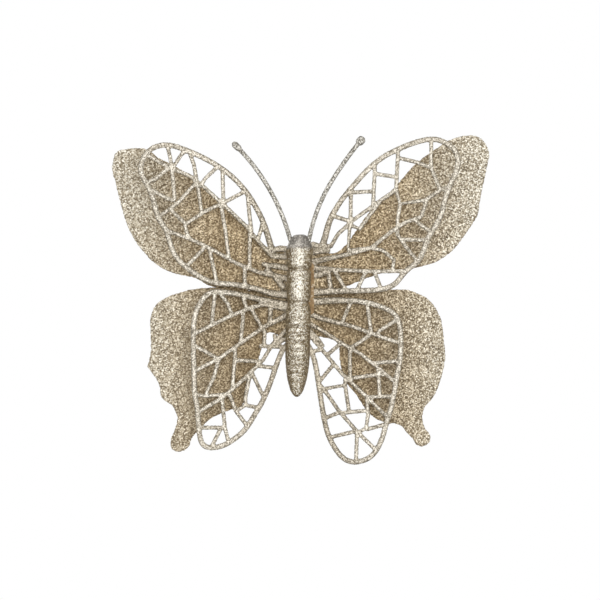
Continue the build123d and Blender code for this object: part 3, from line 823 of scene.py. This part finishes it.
# Clip: pressed sheet with broken edges
FLAT_ANGLE = math.radians(4)
BREAK_ANGLE = math.radians(40)
SMOOTH_ANGLE = math.radians(35)


def pressed(name, node, broken, finish, body):
    """A steel piece whose edges are broken by this width."""
    piece = from_solid(name, node)
    whole(piece, bpy.ops.mesh.dissolve_limited, angle_limit=FLAT_ANGLE)
    apply(
        piece,
        "BEVEL",
        width=broken,
        segments=2,
        limit_method="ANGLE",
        angle_limit=BREAK_ANGLE,
    )
    bpy.ops.object.shade_smooth_by_angle(angle=SMOOTH_ANGLE)
    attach(piece, body)
    dress(piece, node, finish)


pressed("clip_back_plate", "clip_base", 0.1 * MM, clip_steel, BODY)
pressed("clip_jaw_plate", "clip_lever", 0.1 * MM, clip_steel, LEVER)
pressed("clip_rivet", "clip_pin", 0.12 * MM, pin_steel, BODY)


# Spring: round wire wound about the pin, between the clip's two plates
PIN_DEPTH = 1.77 * MM
PIN_HEIGHT = 14 * MM
COIL_RADIUS = 1.6 * MM
COIL_PITCH = 1.05 * MM
COIL_TURNS = 3
COIL_STEPS = 90
WIRE_RADIUS = 0.3 * MM
LEG_LENGTH = 10 * MM
WIRE_SMOOTH_ANGLE = math.radians(40)

# The lever's slope: from the nose's bend, it clears the coil by its reach from the pin
COIL_REACH = 1.92 * MM
PIN_RISE = 9 * MM
PIN_OFFSET = 1.02 * MM
LEVER_ANGLE = math.asin(
    COIL_REACH / math.hypot(PIN_RISE, PIN_OFFSET)
) + math.atan2(PIN_OFFSET, PIN_RISE)


def spring_line():
    """A leg up the back plate, three turns and a bit, and a leg up the lever."""
    wound = 2 * math.pi * COIL_TURNS + math.pi - LEVER_ANGLE
    line = []
    for step in range(COIL_STEPS + 1):
        angle = wound * step / COIL_STEPS
        line.append(
            Vector(
                (
                    COIL_PITCH * (angle - wound / 2) / (2 * math.pi),
                    PIN_DEPTH - COIL_RADIUS * math.cos(angle),
                    PIN_HEIGHT - COIL_RADIUS * math.sin(angle),
                )
            )
        )
    up_lever = Vector((0, math.sin(LEVER_ANGLE), math.cos(LEVER_ANGLE)))
    line.insert(0, line[0] + LEG_LENGTH * Vector((0, 0, 1)))
    line.append(line[-1] + LEG_LENGTH * up_lever)
    return line


def wound_spring():
    line = spring_line()
    wire = bpy.data.curves.new("spring_line", "CURVE")
    wire.dimensions = "3D"
    wire.bevel_depth = WIRE_RADIUS
    wire.bevel_resolution = 4
    wire.use_fill_caps = True
    strand = wire.splines.new("POLY")
    strand.points.add(len(line) - 1)
    for point, place in zip(strand.points, line):
        point.co = (*place, 1)
    spring = made(wire, "clip_spring_wire")
    bpy.ops.object.convert(target="MESH")
    whole(spring, bpy.ops.mesh.remove_doubles, threshold=WELD)
    bpy.ops.object.shade_smooth_by_angle(angle=WIRE_SMOOTH_ANGLE)
    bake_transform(spring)
    dress(spring, "clip_spring", spring_steel)


wound_spring()


# Floor, light and camera, aimed at the middle of the object
MIDDLE_ACROSS = 0.6 * MM
MIDDLE_HEIGHT = 14 * MM
CAMERA_DISTANCE = 10
FLOOR_HEIGHT = -0.12
PALE = (0.86, 0.86, 0.86, 1)
WHITE = (1, 1, 1, 1)
SKY_STRENGTH = 0.6


def pale_floor():
    finish = Finish("pale_floor", Base_Color=PALE, Roughness=0.7)
    bpy.ops.object.select_all(action="DESELECT")
    bpy.ops.mesh.primitive_plane_add(size=1.4, location=(0, -0.4, FLOOR_HEIGHT))
    floor = bpy.context.object
    floor.name = "floor"
    floor.data.materials.append(finish.material)


def studio():
    """A soft sky for light, and plain white where the camera or a mirror sees it."""
    world = bpy.data.worlds.new("studio")
    bpy.context.scene.world = world
    world.use_nodes = True
    nodes = world.node_tree.nodes
    link = world.node_tree.links.new
    sky = nodes["Background"]
    white = nodes.new("ShaderNodeBackground")
    for background, strength in ((sky, SKY_STRENGTH), (white, 1)):
        background.inputs["Color"].default_value = WHITE
        background.inputs["Strength"].default_value = strength
    rays = nodes.new("ShaderNodeLightPath")
    mirrored = nodes.new("ShaderNodeMath")
    mirrored.operation = "MAXIMUM"
    link(rays.outputs["Is Glossy Ray"], mirrored.inputs[0])
    link(rays.outputs["Is Transmission Ray"], mirrored.inputs[1])
    seen = nodes.new("ShaderNodeMath")
    seen.operation = "MAXIMUM"
    link(rays.outputs["Is Camera Ray"], seen.inputs[0])
    link(mirrored.outputs[0], seen.inputs[1])
    choose = nodes.new("ShaderNodeMixShader")
    link(seen.outputs[0], choose.inputs[0])
    link(sky.outputs[0], choose.inputs[1])
    link(white.outputs[0], choose.inputs[2])
    link(choose.outputs[0], nodes["World Output"].inputs["Surface"])


def lamp(name, place, size, power):
    """A round soft lamp that points at the middle of the object."""
    light = bpy.data.lights.new(name, "AREA")
    light.shape = "DISK"
    light.size = size
    light.energy = power
    stand = bpy.data.objects.new(name, light)
    bpy.context.scene.collection.objects.link(stand)
    stand.location = place
    aim = Vector((0, 0, MIDDLE_HEIGHT)) - Vector(place)
    stand.rotation_euler = aim.to_track_quat("-Z", "Y").to_euler()


def far_camera():
    """Straight from the front, from so far away that nearly no perspective is left."""
    camera = bpy.data.cameras.new("camera")
    camera.sensor_width = 36
    camera.lens = 1500
    camera.clip_end = 20
    view = bpy.data.objects.new("camera", camera)
    bpy.context.scene.collection.objects.link(view)
    view.location = (MIDDLE_ACROSS, -CAMERA_DISTANCE, MIDDLE_HEIGHT)
    view.rotation_euler = (math.radians(90), 0, 0)
    bpy.context.scene.camera = view


pale_floor()
studio()
lamp("key", (0.8, -2.4, 0.7), size=2.4, power=30)
lamp("fill", (-0.9, -2.3, 0.3), size=2.0, power=8)
lamp("back_fill", (-0.4, 1.4, 0.4), size=0.7, power=6)
far_camera()
bpy.context.scene.view_settings.view_transform = "Standard"
